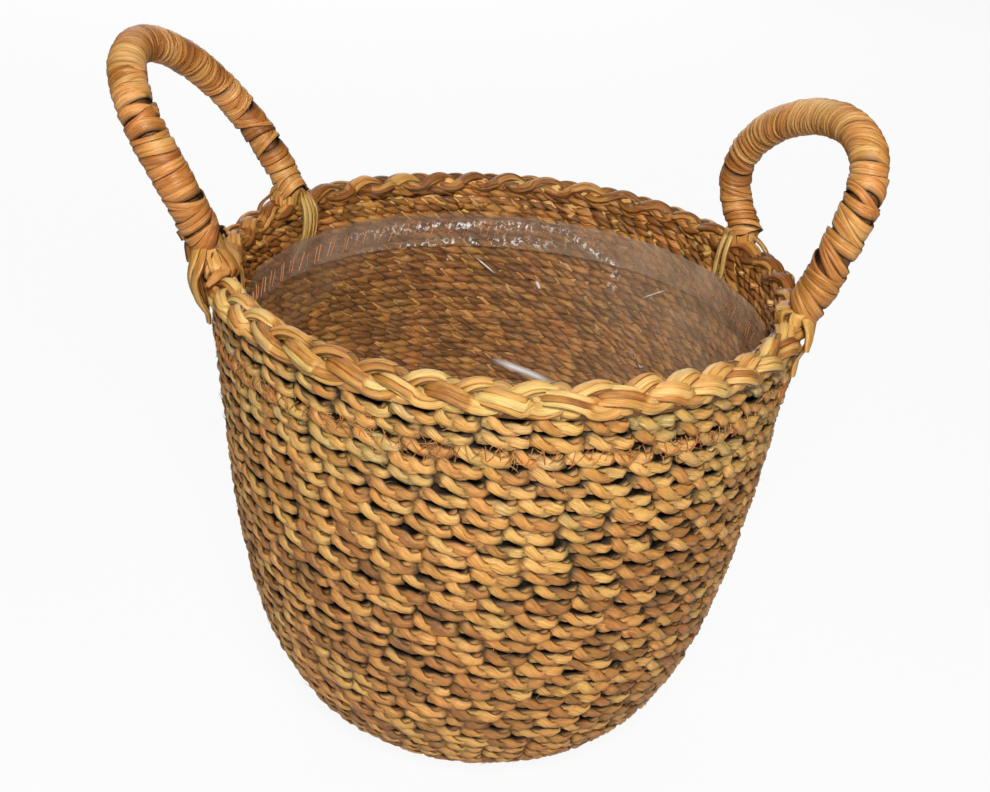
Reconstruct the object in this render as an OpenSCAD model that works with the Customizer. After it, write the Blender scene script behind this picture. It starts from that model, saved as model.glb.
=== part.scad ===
// Seagrass storage basket: strands twined round upright stakes, a plaited rim,
// two bound loop handles tied over the rim, and a clear film liner sewn in at the mouth.
// Millimetres, +Z up, origin on the floor under the middle of the base.
// The front of the basket faces -Y, and its handles stand at -X (left) and +X (right).

/* [Body] */
// Outer diameter of the woven wall at the mouth, just under the rim
mouth_d = 290; // [270:1:310]
// Height of the woven wall, from the floor to the outer edge under the rim
body_h = 237; // [210:1:270]
// Diameter of the flat underside
base_d = 84; // [76:1:96]
// How far the rounded bottom keeps running outwards from the flat underside
bottom_reach = 80; // [70:1:90]
// How far the upper wall keeps its slope below the mouth
wall_reach = 134; // [110:1:150]
// Slope of the wall at the mouth, in degrees from the floor
wall_slope = 84; // [80:1:89]

/* [Weave] */
// Number of upright stakes
stake_n = 36; // [28:2:40]
// Width of a stake
stake_w = 4; // [3:0.1:4.6]
// Thickness of a stake
stake_t = 2.6; // [2:0.1:3.2]
// Thickness of one twined strand
strand_t = 4.6; // [3.8:0.1:5.4]
// Rounds of twining in the flat base
base_round_n = 5; // [4:1:6]
// Courses of twining from the base up to the rim
course_n = 35; // [30:1:38]
// Length of a trimmed stake end inside the mouth
tail_l = 4; // [2:0.5:6]
// Diameter of a trimmed stake end
tail_d = 4; // [3:0.1:4.4]

/* [Rim] */
// Diameter of each of the three rim strands
rim_strand_d = 7.6; // [6.8:0.1:8.4]
// Width of the rim across its two lower strands
rim_w = 18; // [17.5:0.5:19.5]
// How far the middle of the rim stands out from the middle of the wall
rim_overhang = 2.4; // [1.5:0.1:3.5]

/* [Liner] */
// Thickness of the clear film
film_t = 0.4; // [0.3:0.05:0.8]
// Distance from the mouth of the wall down to the top of the film
film_drop = 9; // [6:0.5:11]
// How far the folded hem reaches below the stitches
hem_reach = 6; // [5:0.5:12]
// Thickness of the folded hem
hem_t = 0.8; // [0.6:0.1:1.4]
// Course, counted down from the rim, that the liner is sewn through
stitch_course = 3; // [2:1:4]
// Stitches on each face of the wall
stitch_n = 48; // [36:2:72]
// Thickness of the thread
stitch_d = 0.9; // [0.6:0.1:1.2]
// Length of a stitch
stitch_l = 8; // [5:0.5:10]
// Slant of a stitch from the upright
stitch_slant = 35; // [15:1:50]

/* [Handles] */
// Diameter of a bound handle at its front foot
handle_front_d = 19; // [17:0.5:21]
// Diameter of a bound handle at its back foot
handle_back_d = 16; // [14.5:0.5:19]
// How far each handle's middle is turned behind the basket's side
handle_turn = 8; // [0:1:14]
// Half the angle between a handle's two feet, seen from the basket's middle
handle_half_angle = 23; // [18:1:26]
// Thickness of the binding strip
wrap_t = 1.8; // [1.4:0.1:2.2]
// Turns of the binding strip
wrap_n = 22; // [16:1:24]
// Bare length of core between a foot and its binding
wrap_lead = 6; // [5:0.5:10]
// Left handle: pull of its curve along the rim, each way from its middle
left_spread = 81; // [70:1:95]
// Left handle: pull of the front leg away from the rim
left_front_rise = 157; // [142:1:172]
// Left handle: pull of the back leg away from the rim
left_back_rise = 97; // [84:1:114]
// Left handle: outward lean of both legs
left_lean = 36; // [25:1:45]
// Right handle: pull of its curve along the rim, each way from its middle
right_spread = 100; // [85:1:110]
// Right handle: pull of the front leg away from the rim
right_front_rise = 148; // [135:1:160]
// Right handle: pull of the back leg away from the rim
right_back_rise = 65; // [58:1:78]
// Right handle: outward lean of the front leg
right_front_lean = 27; // [15:1:35]
// Right handle: inward lean of the back leg
right_back_lean = 25; // [10:1:30]

/* [Ties] */
// Thickness of a tie over the rim
tie_t = 2.4; // [1.6:0.1:3.2]
// Width of a tie along the rim
tie_w = 10; // [8:0.5:13]
// Height at which a tie's ends stop above the wall
tie_stop = 1; // [0.5:0.1:3]

/* [Hidden] */
fit_gap = 0.25;
seat_gap = 0.3;
curve_steps = 96;
straw = [0.83, 0.63, 0.36];
pale_straw = [0.89, 0.71, 0.43];
brown_straw = [0.69, 0.49, 0.25];
film_grey = [0.86, 0.87, 0.88, 0.4];
rust = [0.66, 0.33, 0.15];

function unit(v) = v / norm(v);

// A cubic curve through p[0] and p[3], pulled towards p[1] and p[2]
function curve_point(p, t) =
    pow(1 - t, 3) * p[0] + 3 * pow(1 - t, 2) * t * p[1] + 3 * (1 - t) * t * t * p[2] + pow(t, 3) * p[3];
function curve_dir(p, t) =
    unit(pow(1 - t, 2) * (p[1] - p[0]) + 2 * (1 - t) * t * (p[2] - p[1]) + t * t * (p[3] - p[2]));

// Pairs of length along a curve and curve parameter
function curve_table(p) = [
    for (i = 0, s = 0; i <= curve_steps; s = s + curve_chord(p, i), i = i + 1) [s, i / curve_steps]
];
function curve_chord(p, i) =
    norm(curve_point(p, (i + 1) / curve_steps) - curve_point(p, i / curve_steps));

// The wall's outer face in section: [radius, height], and depth is measured inwards from it
base_r = base_d / 2;
mouth_r = mouth_d / 2;
wall_dir = [cos(wall_slope), sin(wall_slope)];
mouth_edge = [mouth_r, body_h];
wall_curve = [[base_r, 0], [base_r + bottom_reach, 0], mouth_edge - wall_reach * wall_dir, mouth_edge];
wall_table = curve_table(wall_curve);
wall_len = wall_table[curve_steps][0];
skin_len = base_r + wall_len;
function wall_param(s) = lookup(s - base_r, wall_table);
function skin_dir(s) = s <= base_r ? [1, 0] : curve_dir(wall_curve, wall_param(s));
function skin_edge(s) = s <= base_r ? [s, 0] : curve_point(wall_curve, wall_param(s));
function skin_point(s, depth) = let (d = skin_dir(s)) skin_edge(s) + depth * [-d.y, d.x];
function skin_slope(s) = let (d = skin_dir(s)) atan2(d.y, d.x);

// A band of the wall between two lengths and two depths, as an outline with one step to a course
function band_lengths(s0, s1) = [
    if (s0 < base_r) s0,
    for (i = [0:course_n]) max(s0, base_r) + (s1 - max(s0, base_r)) * i / course_n
];
function reversed(list) = [for (i = [len(list) - 1:-1:0]) list[i]];
function band(s0, s1, d0, d1) = let (lengths = band_lengths(s0, s1)) concat(
    [for (s = lengths) skin_point(s, d0)],
    [for (s = reversed(lengths)) skin_point(s, d1)]
);

// Layers of the wall, from the outside inwards
stake_depth = strand_t + fit_gap;
inner_depth = stake_depth + stake_t + fit_gap;
wall_t = inner_depth + strand_t;
film_depth = wall_t + seat_gap;
hem_depth = film_depth + film_t + fit_gap;

// Section of one strand: shares of its half length and half thickness
strand_flat = 0.6;
strand_edge = 0.35;
strand_section = [
    [1, strand_edge], [strand_flat, 1], [-strand_flat, 1], [-1, strand_edge],
    [-1, -strand_edge], [-strand_flat, -1], [strand_flat, -1], [1, -strand_edge]
];
function strand_outline(s0, s1, depth) =
    let (a = skin_point(s0, depth), b = skin_point(s1, depth), u = (b - a) / 2)
    let (n = unit([-u.y, u.x]) * strand_t / 2)
    [for (k = strand_section) (a + b) / 2 + k.x * u + k.y * n];

base_pitch = base_r / base_round_n;
course_pitch = wall_len / course_n;
stake_start_r = (stake_w / 2 + fit_gap) / tan(180 / stake_n);

// Rim: two strands side by side on the wall, and one on top between them
rim_r = mouth_r - wall_t / 2 + rim_overhang;
rim_strand_r = rim_strand_d / 2;
rim_space = rim_w - rim_strand_d;
rim_lift = sqrt(pow(rim_strand_d + seat_gap, 2) - pow(rim_space / 2, 2));
rim_z = body_h + wall_t * cos(wall_slope) + seat_gap;
rim_low_z = rim_z + rim_strand_r;
rim_high_z = rim_low_z + rim_lift;
rim_top_z = rim_high_z + rim_strand_r;

// Ties: straps bent over the rim, round at the top
tie_in_r = rim_space / 2 + rim_strand_r + seat_gap;
tie_out_r = tie_in_r + tie_t;
tie_bend_z = rim_top_z + seat_gap - tie_in_r;
tie_end_z = rim_z + tie_stop;
tie_top_z = tie_bend_z + tie_out_r;

// Trimmed stake ends and stitches
tail_s = skin_len - film_drop / 2;
stitch_s = skin_len - (stitch_course - 0.5) * course_pitch;

// Handles: each is a curve from its front foot to its back foot, which turn on the ties
front_core_r = handle_front_d / 2 - wrap_t - seat_gap - fit_gap;
back_core_r = handle_back_d / 2 - wrap_t - seat_gap - fit_gap;
front_angle = handle_turn - handle_half_angle;
back_angle = handle_turn + handle_half_angle;
function foot(side, angle, core_r) =
    [side * rim_r * cos(angle), rim_r * sin(angle), tie_top_z + seat_gap + core_r];
function front_foot(side) = foot(side, front_angle, front_core_r);
function back_foot(side) = foot(side, back_angle, back_core_r);
function rim_along(side) = unit(back_foot(side) - front_foot(side));
function rim_out(side) = let (a = rim_along(side)) side * unit([a.y, -a.x, 0]);
function leaning(side, lean) = cos(lean) * [0, 0, 1] + sin(lean) * rim_out(side);
function handle_curve(side, spread, front_rise, back_rise, front_lean, back_lean) =
    let (a = front_foot(side), b = back_foot(side), middle = (a + b) / 2)
    [
        a,
        middle - spread * rim_along(side) + front_rise * leaning(side, front_lean),
        middle + spread * rim_along(side) + back_rise * leaning(side, back_lean),
        b
    ];
left_curve = handle_curve(-1, left_spread, left_front_rise, left_back_rise, left_lean, left_lean);
right_curve = handle_curve(1, right_spread, right_front_rise, right_back_rise, right_front_lean, -right_back_lean);

// Two directions square to a handle's curve, the first close to the handle's own flat side
function handle_side(p) = unit(cross(p[3] - p[0], p[1] + p[2] - p[0] - p[3]));
function square_a(p, t) =
    let (d = curve_dir(p, t), n = handle_side(p))
    unit(n - (n * d) * d);
function ring_dir(p, t, angle) =
    let (a = square_a(p, t), b = cross(curve_dir(p, t), a))
    cos(angle) * a + sin(angle) * b;
function core_r(t) = front_core_r + (back_core_r - front_core_r) * t;

// A tube through rings of points, each ring listed anticlockwise about the way that the tube runs
module tube(rings) {
    n = len(rings[0]);
    last = len(rings) - 1;
    function at(i, k) = i * n + k % n;
    polyhedron(
        points = [for (ring = rings) for (p = ring) p],
        faces = concat(
            [for (i = [0:last - 1]) for (k = [0:n - 1]) [at(i, k), at(i + 1, k), at(i + 1, k + 1)]],
            [for (i = [0:last - 1]) for (k = [0:n - 1]) [at(i, k), at(i + 1, k + 1), at(i, k + 1)]],
            [for (k = [1:n - 2]) [at(0, 0), at(0, k), at(0, k + 1)]],
            [for (k = [1:n - 2]) [at(last, 0), at(last, k + 1), at(last, k)]]
        )
    );
}

// Core of a handle: rings along its curve, closed by a round foot at each end
core_sides = 12;
core_rings = 36;
foot_rings = 4;
function core_ring(p, t, along, r) = [
    for (k = [0:core_sides - 1])
        curve_point(p, t) + along * curve_dir(p, t) + r * ring_dir(p, t, 360 * k / core_sides)
];
function foot_angle(i) = 90 * i / (foot_rings + 1);
function core_tube(p) = concat(
    [for (i = [1:foot_rings])
        core_ring(p, 0, -front_core_r * cos(foot_angle(i)), front_core_r * sin(foot_angle(i)))],
    [for (i = [0:core_rings]) core_ring(p, i / core_rings, 0, core_r(i / core_rings))],
    [for (i = [foot_rings:-1:1])
        core_ring(p, 1, back_core_r * cos(foot_angle(i)), back_core_r * sin(foot_angle(i)))]
);

// Binding of a handle: one flat strip wound along the core
wrap_rings = 16;
wrap_gap = 0.9;
wrap_flat = 0.8;
function wrap_pitch(length) = (length - 2 * wrap_lead + wrap_gap) / (wrap_n + 1);
function wrap_section(half) = [
    [-half, wrap_t / 2], [-half * wrap_flat, 0], [half * wrap_flat, 0],
    [half, wrap_t / 2], [half * wrap_flat, wrap_t], [-half * wrap_flat, wrap_t]
];
function wrap_tube(p) =
    let (table = curve_table(p), length = table[curve_steps][0], pitch = wrap_pitch(length))
    let (half = (pitch - wrap_gap) / 2, section = wrap_section(half))
    [
        for (i = [0:wrap_n * wrap_rings]) [
            for (k = section)
                let (s = wrap_lead + half + pitch * i / wrap_rings + k.x, t = lookup(s, table))
                let (r = core_r(t) + seat_gap + fit_gap + k.y)
                curve_point(p, t) + r * ring_dir(p, t, 360 * i / wrap_rings)
        ]
    ];
left_wrap = wrap_tube(left_curve);
right_wrap = wrap_tube(right_curve);

// Least distance between one turn's leading edge and the next turn's trailing edge
function least_wrap_gap(rings) = min([
    for (i = [1:len(rings) - wrap_rings - 2]) for (j = [-1:1])
        norm(rings[i][3] - rings[i + wrap_rings + j][0])
]);
echo(left_wrap_least_gap = least_wrap_gap(left_wrap));
echo(right_wrap_least_gap = least_wrap_gap(right_wrap));

function course_name(i) = str("course_", i < 10 ? "0" : "", i);

// A pair of twined strands between two lengths: one outside the stakes and one inside them
module strand_pair(s0, s1) {
    for (depth = [strand_t / 2, inner_depth + strand_t / 2])
        rotate_extrude($fn = 120)
            polygon(strand_outline(s0 + seat_gap / 2, s1 - seat_gap / 2, depth));
}

module base_hub() {
    color(brown_straw)
        translate([0, 0, stake_depth])
            cylinder(h = stake_t, r = stake_start_r - fit_gap, $fn = 96);
}

module base_rounds() {
    color(brown_straw)
        for (i = [1:base_round_n])
            strand_pair((i - 1) * base_pitch, i * base_pitch);
}

module stakes() {
    color(brown_straw)
        for (i = [0:stake_n - 1])
            rotate([0, 0, 360 * i / stake_n])
                rotate([90, 0, 0])
                    linear_extrude(height = stake_w, center = true)
                        polygon(band(stake_start_r, skin_len, stake_depth, stake_depth + stake_t));
}

module course(i) {
    color(straw)
        strand_pair(base_r + (i - 1) * course_pitch, base_r + i * course_pitch);
}

module rim_strand(r, z) {
    color(pale_straw)
        rotate_extrude($fn = 120)
            translate([r, z])
                circle(r = rim_strand_r, $fn = 32);
}

module rim_strand_outer() {
    rim_strand(rim_r + rim_space / 2, rim_low_z);
}

module rim_strand_inner() {
    rim_strand(rim_r - rim_space / 2, rim_low_z);
}

module rim_strand_top() {
    rim_strand(rim_r, rim_high_z);
}

// Cut ends of the stakes, square to the inside of the wall, between the stakes
module stake_tails() {
    p = skin_point(tail_s, wall_t + fit_gap + tail_l / 2);
    color(pale_straw)
        for (i = [0:stake_n - 1])
            rotate([0, 0, 360 * (i + 0.5) / stake_n])
                translate([p.x, 0, p.y])
                    rotate([0, -skin_slope(tail_s), 0])
                        cylinder(h = tail_l, d = tail_d, center = true, $fn = 24);
}

module liner_film() {
    color(film_grey)
        rotate_extrude($fn = 120)
            polygon(band(0, skin_len - film_drop, film_depth, film_depth + film_t));
}

module liner_hem() {
    color(film_grey)
        rotate_extrude($fn = 120)
            polygon(band(stitch_s - hem_reach, skin_len - film_drop, hem_depth, hem_depth + hem_t));
}

// Slanted stitches on one face of the wall
module stitch_row(depth, slant) {
    p = skin_point(stitch_s, depth);
    for (i = [0:stitch_n - 1])
        rotate([0, 0, 360 * i / stitch_n])
            translate([p.x, 0, p.y])
                rotate([0, 90 - skin_slope(stitch_s), 0])
                    rotate([slant, 0, 0])
                        cylinder(h = stitch_l, d = stitch_d, center = true, $fn = 16);
}

module liner_stitches() {
    color(rust) {
        stitch_row(hem_depth + hem_t + fit_gap + stitch_d / 2, stitch_slant);
        stitch_row(-fit_gap - stitch_d / 2, -stitch_slant);
    }
}

// Outline of a tie: straight sides up to the bend, then a circle
module tie_outline(r) {
    translate([-r, tie_end_z])
        square([2 * r, tie_bend_z - tie_end_z]);
    translate([0, tie_bend_z])
        circle(r = r, $fn = 64);
}

// A strap over the rim, open below its two ends
module tie(side, angle) {
    color(pale_straw)
        mirror([side < 0 ? 1 : 0, 0, 0])
            rotate([0, 0, angle])
                translate([rim_r, 0, 0])
                    rotate([90, 0, 0])
                        linear_extrude(height = tie_w, center = true)
                            difference() {
                                tie_outline(tie_out_r);
                                tie_outline(tie_in_r);
                                translate([-tie_out_r, tie_end_z - tie_out_r])
                                    square([2 * tie_out_r, tie_out_r]);
                            }
}

module handle_core_left() {
    color(brown_straw) tube(core_tube(left_curve));
}

module handle_core_right() {
    color(brown_straw) tube(core_tube(right_curve));
}

module handle_wrap_left() {
    color(straw) tube(left_wrap);
}

module handle_wrap_right() {
    color(straw) tube(right_wrap);
}

base_hub();
base_rounds();
stakes();
for (i = [1:course_n])
    course(i);
rim_strand_outer();
rim_strand_inner();
rim_strand_top();
stake_tails();
liner_film();
liner_hem();
liner_stitches();
tie(-1, front_angle);  // tie_left_front
tie(-1, back_angle);  // tie_left_back
tie(1, front_angle);  // tie_right_front
tie(1, back_angle);  // tie_right_back
handle_core_left();
handle_core_right();
handle_wrap_left();
handle_wrap_right();
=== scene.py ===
"""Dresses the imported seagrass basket: twined courses, plaited rim, bound handles, ties and film liner.

Lengths are in metres in the part's own frame: +Z up, -Y to the front, origin on the floor.
"""

import math
from functools import partial

import bpy
import numpy as np
from mathutils import Matrix, Vector


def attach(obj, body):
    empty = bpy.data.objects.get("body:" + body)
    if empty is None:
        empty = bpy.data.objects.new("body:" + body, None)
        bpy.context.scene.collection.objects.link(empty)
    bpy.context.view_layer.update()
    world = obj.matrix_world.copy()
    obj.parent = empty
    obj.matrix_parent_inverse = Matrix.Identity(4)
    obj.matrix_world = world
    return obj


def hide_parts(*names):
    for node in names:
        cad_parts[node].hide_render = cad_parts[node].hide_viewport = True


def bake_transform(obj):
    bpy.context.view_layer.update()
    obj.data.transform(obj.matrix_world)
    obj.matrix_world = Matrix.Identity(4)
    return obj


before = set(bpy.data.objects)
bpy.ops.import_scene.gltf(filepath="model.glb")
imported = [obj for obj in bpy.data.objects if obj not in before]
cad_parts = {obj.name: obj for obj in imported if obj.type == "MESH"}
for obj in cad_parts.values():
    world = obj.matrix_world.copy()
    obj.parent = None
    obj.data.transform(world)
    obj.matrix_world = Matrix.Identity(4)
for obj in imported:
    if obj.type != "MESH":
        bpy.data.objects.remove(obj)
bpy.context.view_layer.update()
scene = bpy.context.scene
TAU = 2 * math.pi
MM = 0.001
UP = np.array([0, 0, 1.0])

# The wall and what sits on it, as in the part's source, and the rise of its back
BASE_R = 42 * MM
MOUTH_R = 145 * MM
BODY_H = 237 * MM
BOTTOM_REACH = 80 * MM
WALL_REACH = 134 * MM
WALL_SLOPE = 84
WALL_T = 12.3 * MM
COURSES = 35
BASE_ROUNDS = 5
STAKES = 36
RIM_R = 141.25 * MM
RIM_Z = 244.2 * MM
FILM_DROP = 9 * MM
HEM_DEPTH = 26.1 * MM
SEAM_DEPTH = 20.1 * MM
BACK_RISE = 3 * MM
RISE_FADE = 70 * MM


def unit(v):
    """Rows of v, each divided by its own length."""
    return v / np.linalg.norm(v, axis=-1, keepdims=True)


def cos_sin(degrees):
    """Cosine and sine of an angle."""
    return math.cos(math.radians(degrees)), math.sin(math.radians(degrees))


def bezier(p, t):
    """Cubic curve through p[0] and p[3], pulled towards p[1] and p[2], at each t."""
    t = np.asarray(t, float)[:, None]
    return (1 - t) ** 3 * p[0] + 3 * (1 - t) ** 2 * t * p[1] + 3 * (1 - t) * t * t * p[2] + t**3 * p[3]


def arc_lengths(points):
    """Length along a polyline at each of its points."""
    return np.concatenate([[0], np.cumsum(np.linalg.norm(np.diff(points, axis=0), axis=1))])


def smooth(x, low, high):
    """0 below low, 1 above high, and the cubic 3x^2 - 2x^3 between them."""
    x = np.clip((x - low) / (high - low), 0, 1)
    return x * x * (3 - 2 * x)


def waves(theta, step, terms):
    """The sum of h * sin(n * theta + rate * step + shift) over terms of (h, n, rate, shift)."""
    return sum(h * np.sin(n * theta + rate * step + shift) for h, n, rate, shift in terms)


MOUTH_EDGE = np.array([MOUTH_R, BODY_H])
MOUTH_PULL = MOUTH_EDGE - WALL_REACH * np.array(cos_sin(WALL_SLOPE))
WALL_CURVE = np.array([[BASE_R, 0], [BASE_R + BOTTOM_REACH, 0], MOUTH_PULL, MOUTH_EDGE])
WALL_POINTS = bezier(WALL_CURVE, np.linspace(0, 1, 801))
WALL_S = arc_lengths(WALL_POINTS)
WALL_LEN = WALL_S[-1]
WALL_DIRS = unit(np.gradient(WALL_POINTS, WALL_S, axis=0))
COURSE_PITCH = WALL_LEN / COURSES
BASE_PITCH = BASE_R / BASE_ROUNDS


def wall_at(s, depth):
    """Section point (radius, height) and direction of the wall at length s past the base, depth inwards.

    A negative s lies on the flat base, at height 0 outside. Past its end the wall goes straight on.
    """
    s = np.asarray(s, float)
    flat = (BASE_R + s, 0, 1, 0)
    rows = (*WALL_POINTS.T, *WALL_DIRS.T)
    r, z, dr, dz = (np.where(s < 0, x, np.interp(s, WALL_S, row)) for x, row in zip(flat, rows))
    over = np.maximum(s - WALL_LEN, 0)
    return r + over * dr - depth * dz, z + over * dz + depth * dr, dr, dz


def around(theta, r, z):
    """Points at angle theta about +Z, radius r and height z."""
    return np.stack([r * np.cos(theta), r * np.sin(theta), z + 0 * theta], axis=-1)


def back_rise(theta, s):
    """How far the wall stands higher at the back of the basket, fading out RISE_FADE down from its top."""
    return BACK_RISE * smooth(np.sin(theta), 0.2, 0.9) * smooth(s, WALL_LEN - RISE_FADE, WALL_LEN)


# Meshes

LEAF_CORNER = 0.8
GROOVE_WIDTH = 0.35
LEAF_SIZES = (0.88, 1.12)
LEAF_FOLD = 0.12
LANES = 4000
LEAST_R = 0.5 * MM
FACING_IN = [1, 0, 3, 2]


def ring_faces(rings, sides, closed=False):
    """Faces between each ring of points and the next."""
    i = np.arange(rings if closed else rings - 1)[:, None]
    k = np.arange(sides)[None]
    j = (i + 1) % rings
    m = (k + 1) % sides
    return np.stack([i * sides + k, i * sides + m, j * sides + m, j * sides + k], axis=-1).reshape(-1, 4)


def grid_part(verts, corners, u, v, tone, tuck):
    """A part from rows of points that close round. corners is the order of a face's four points."""
    shape = verts.shape[:2]
    u, v, tone, tuck = (np.broadcast_to(value, shape).ravel() for value in (u, v, tone, tuck))
    faces = ring_faces(*shape)[:, corners]
    uv = np.stack([u, v], axis=-1)[faces.ravel()]
    return {"verts": verts.reshape(-1, 3), "faces": faces, "uv": uv, "tone": tone, "tuck": tuck}


def sweep(path, wide, thin, half_w, half_t, sides=8, closed=False, fold=0.0, tone=0.5, tuck=0.0, lane=0):
    """A leaf swept along path: a flattened ring of points at each path point, joined to the next ring.

    A ring's point at angle a is path + wide * half_w * cos(a) + thin * half_t * sin(a), with the corners
    filled out by the power LEAF_CORNER and a groove of depth fold along the middle of the leaf. tone, and
    the amount of painted shade, are kept per point for the material. lane is a whole number that gives the
    leaf its own place in the texture, where the part after the point of v is a / TAU.
    """
    n = len(path)
    a = TAU * np.arange(sides) / sides
    x = np.sign(np.cos(a)) * np.abs(np.cos(a)) ** LEAF_CORNER
    y = np.sign(np.sin(a)) * np.abs(np.sin(a)) ** LEAF_CORNER
    y = y * (1 - fold * np.exp(-((x / GROOVE_WIDTH) ** 2)))
    half_w = np.broadcast_to(half_w, n)[:, None, None]
    half_t = np.broadcast_to(half_t, n)[:, None, None]
    verts = path[:, None] + wide[:, None] * half_w * x[:, None] + thin[:, None] * half_t * y[:, None]
    length = arc_lengths(np.concatenate([path, path[:1]]) if closed else path)
    u0, u1, v0 = np.broadcast_arrays(length[:-1, None], length[1:, None], np.arange(sides) / sides + lane)
    v1 = v0 + 1 / sides
    return {
        "verts": verts.reshape(-1, 3),
        "faces": ring_faces(n, sides, closed),
        "uv": np.stack([u0, v0, u0, v1, u1, v1, u1, v0], axis=-1).reshape(-1, 2),
        "tone": np.repeat(np.broadcast_to(tone, n), sides),
        "tuck": np.repeat(np.broadcast_to(tuck, n), sides),
    }


def make_piece(name, parts, material, body="basket"):
    """One object from its parts, with their texture map and point values, riding on a body if it has one."""
    starts = np.cumsum([0] + [len(p["verts"]) for p in parts[:-1]])
    verts = np.concatenate([p["verts"] for p in parts])
    faces = np.concatenate([p["faces"] + s for p, s in zip(parts, starts)])
    mesh = bpy.data.meshes.new(name)
    mesh.vertices.add(len(verts))
    mesh.vertices.foreach_set("co", verts.ravel())
    mesh.loops.add(faces.size)
    mesh.loops.foreach_set("vertex_index", faces.ravel().astype(np.int32))
    mesh.polygons.add(len(faces))
    mesh.polygons.foreach_set("loop_start", np.arange(0, faces.size, 4, dtype=np.int32))
    mesh.update(calc_edges=True)
    mesh.polygons.foreach_set("use_smooth", np.ones(len(faces), bool))
    uv = np.concatenate([p["uv"] for p in parts])
    mesh.uv_layers.new(name="leaf").uv.foreach_set("vector", uv.ravel())
    for key in ("tone", "tuck"):
        values = np.concatenate([p[key] for p in parts]).astype(np.float32)
        mesh.attributes.new(key, "FLOAT", "POINT").data.foreach_set("value", values)
    mesh.materials.append(material)
    obj = bpy.data.objects.new(name, mesh)
    scene.collection.objects.link(obj)
    if body:
        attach(obj, body)
    return obj


def section_axes(path, face, closed):
    """Directions square to a path: across the leaf, and out of its face, as close to face as can be."""
    if closed:
        along = unit(np.roll(path, -1, axis=0) - np.roll(path, 1, axis=0))
    else:
        along = unit(np.gradient(path, axis=0))
    thin = unit(face - np.sum(face * along, axis=-1, keepdims=True) * along)
    return np.cross(along, thin), thin


def laid(path, face, half_w, half_t, closed=False, **look):
    """A leaf swept along path with its face as close to face as can be."""
    return sweep(path, *section_axes(path, face, closed), half_w, half_t, closed=closed, **look)


def bundle(path, face, half_w, half_t, offsets, turn, rng, tones, leaf_w, leaf_t, lean):
    """Leaves laid up into one closed strand, each at its own offset from the path, turned about it by turn.

    half_w and half_t are the strand's half sizes. Offsets are parts of them, and so are leaf_w and leaf_t,
    the half sizes of a leaf. A leaf at angle b about the path leans with lean * sin(2b).
    """
    wide, thin = section_axes(path, face, True)
    parts = []
    for (w, t), tone in zip(offsets, tones):
        size = rng.uniform(*LEAF_SIZES)
        reach = math.hypot(w, t)
        b = turn + math.atan2(t, w)
        tilt = (lean * np.sin(2 * b))[:, None]
        at = path + (reach * half_w * np.cos(b))[:, None] * wide
        at = at + (reach * half_t * np.sin(b))[:, None] * thin
        axes = unit(wide - tilt * thin), unit(thin + tilt * wide)
        halves = half_w * leaf_w * size, half_t * leaf_t * size
        lane = int(rng.integers(0, LANES))
        parts.append(sweep(at, *axes, *halves, closed=True, fold=LEAF_FOLD, tone=tone, lane=lane))
    return parts


# Materials


class Value:
    """An output socket that takes part in sums."""

    def __init__(self, tree, socket):
        self.tree = tree
        self.socket = socket

    def math(self, operation, other=0.0, swapped=False):
        """A Math node on this value and other, or on other and this value."""
        first, second = (other, self) if swapped else (self, other)
        return node(self.tree, "Math", settings={"operation": operation}, i0=first, i1=second)

    def __add__(self, other):
        return self.math("ADD", other)

    def __sub__(self, other):
        return self.math("SUBTRACT", other)

    def __rsub__(self, other):
        return self.math("SUBTRACT", other, swapped=True)

    def __mul__(self, other):
        return self.math("MULTIPLY", other)

    __radd__ = __add__
    __rmul__ = __mul__

    def range(self, low, high, to_low=0.0, to_high=1.0):
        """This value, with low to high taken to to_low to to_high and held there."""
        return node(self.tree, "MapRange", i0=self, i1=low, i2=high, i3=to_low, i4=to_high)

    def ramp(self, stops):
        """Colours along this value: stops of a place and a colour as srgb() takes it."""
        made = node(self.tree, "ValToRGB", i0=self)
        elements = made.socket.node.color_ramp.elements
        while len(elements) < len(stops):
            elements.new(1)
        for element, (place, *colour) in zip(elements, stops):
            element.position = place
            element.color = srgb(*colour)
        return made

    def mix(self, a, b):
        """Colour a where this value is 0 and b where it is 1."""
        return node(self.tree, "Mix", out=2, settings={"data_type": "RGBA"}, i0=self, i6=a, i7=b)

    def noise(self, scale, detail=2.0, rough=0.5):
        """Noise at this place."""
        return node(self.tree, "TexNoise", Vector=self, Scale=scale, Detail=detail, Roughness=rough)

    def times(self, factor):
        """This colour times another colour or a number."""
        return node(self.tree, "VectorMath", settings={"operation": "MULTIPLY"}, i0=self, i1=factor)


def node(tree, kind, out=0, settings=None, **inputs):
    """A new node of that kind with its settings and inputs set, as a Value of its output out.

    An input goes by its name, with _ for a space, or by i and its number.
    """
    made = tree.nodes.new("ShaderNode" + kind)
    for key, value in (settings or {}).items():
        setattr(made, key, value)
    for key, value in inputs.items():
        target = made.inputs[int(key[1:]) if key[1:].isdigit() else key.replace("_", " ")]
        if isinstance(value, Value):
            tree.links.new(value.socket, target)
        else:
            target.default_value = value
    return Value(tree, made.outputs[out])


def attribute(tree, name):
    """A value kept per point of the mesh."""
    return node(tree, "Attribute", out=2, settings={"attribute_name": name})


def new_material(name):
    """An empty node material and its tree."""
    material = bpy.data.materials.new(name)
    material.use_nodes = True
    material.node_tree.nodes.clear()
    return material, material.node_tree


def show(tree, shader, output="Material"):
    """Makes a shader the surface of a material or the background of a world."""
    tree.links.new(shader.socket, tree.nodes.new("ShaderNodeOutput" + output).inputs[0])


def srgb(r, g, b):
    """A colour given as 0 to 255 screen values, in linear light."""
    c = np.array([r, g, b]) / 255
    return (*np.where(c <= 0.04045, c / 12.92, ((c + 0.055) / 1.055) ** 2.4), 1)


# Colour of the painted shade mixed into leaves in crevices and between parts
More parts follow.
